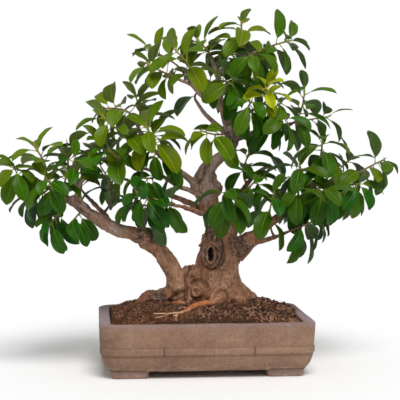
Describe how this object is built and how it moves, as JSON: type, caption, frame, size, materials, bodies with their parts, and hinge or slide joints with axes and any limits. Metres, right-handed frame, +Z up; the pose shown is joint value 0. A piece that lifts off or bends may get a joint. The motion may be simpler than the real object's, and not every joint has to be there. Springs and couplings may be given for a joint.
{
  "type": "potted ficus bonsai",
  "caption": "Ficus bonsai with a thick flared trunk, spreading limbs and leafy shoots, rooted in mounded soil in a rounded rectangular unglazed clay tray pot on low feet.",
  "frame": {"origin": "under the middle of the whole outline, on the surface that the pot's feet stand on", "axes": "+X along the pot's length, towards the right of the front view; -Y out of the front, where the knot on the trunk is; +Z up"},
  "size_m": [0.6892, 0.2992, 0.6014],
  "materials": {
    "clay": "matte",
    "mesh": "matte",
    "soil": "matte",
    "bark": "matte",
    "leaf_dark": "satin",
    "leaf_middle": "satin",
    "leaf_bright": "satin",
    "leaf_lime": "satin"
  },
  "bodies": {
    "root": {"pot": "clay", "drain_mesh": "mesh", "soil": "soil", "trunk": "bark", "shoot_01": "leaf_bright", "shoot_02": "leaf_middle", "shoot_03": "leaf_middle", "shoot_04": "leaf_bright", "shoot_05": "leaf_dark", "shoot_06": "leaf_dark", "shoot_07": "leaf_dark", "shoot_08": "leaf_bright", "shoot_09": "leaf_middle", "shoot_10": "leaf_dark", "shoot_11": "leaf_dark", "shoot_12": "leaf_bright", "shoot_13": "leaf_bright", "shoot_14": "leaf_bright", "shoot_15": "leaf_bright", "shoot_16": "leaf_middle", "shoot_17": "leaf_middle", "shoot_18": "leaf_middle", "shoot_19": "leaf_dark", "shoot_20": "leaf_dark", "shoot_21": "leaf_dark", "shoot_22": "leaf_dark", "shoot_23": "leaf_dark", "shoot_24": "leaf_bright", "shoot_25": "leaf_bright", "shoot_26": "leaf_bright", "shoot_27": "leaf_bright", "shoot_28": "leaf_dark", "shoot_29": "leaf_bright", "shoot_30": "leaf_middle", "shoot_31": "leaf_bright", "shoot_32": "leaf_middle", "shoot_33": "leaf_middle", "shoot_34": "leaf_dark", "shoot_35": "leaf_middle", "shoot_36": "leaf_lime", "shoot_37": "leaf_middle", "shoot_38": "leaf_middle", "shoot_39": "leaf_middle", "shoot_40": "leaf_dark", "shoot_41": "leaf_middle", "shoot_42": "leaf_middle", "shoot_43": "leaf_dark", "shoot_44": "leaf_middle", "shoot_45": "leaf_dark", "shoot_46": "leaf_middle", "shoot_47": "leaf_dark", "shoot_48": "leaf_dark", "shoot_49": "leaf_middle", "shoot_50": "leaf_middle", "shoot_51": "leaf_dark", "shoot_52": "leaf_dark", "shoot_53": "leaf_dark", "shoot_54": "leaf_dark", "shoot_55": "leaf_dark", "shoot_56": "leaf_dark"}
  },
  "joints": []
}
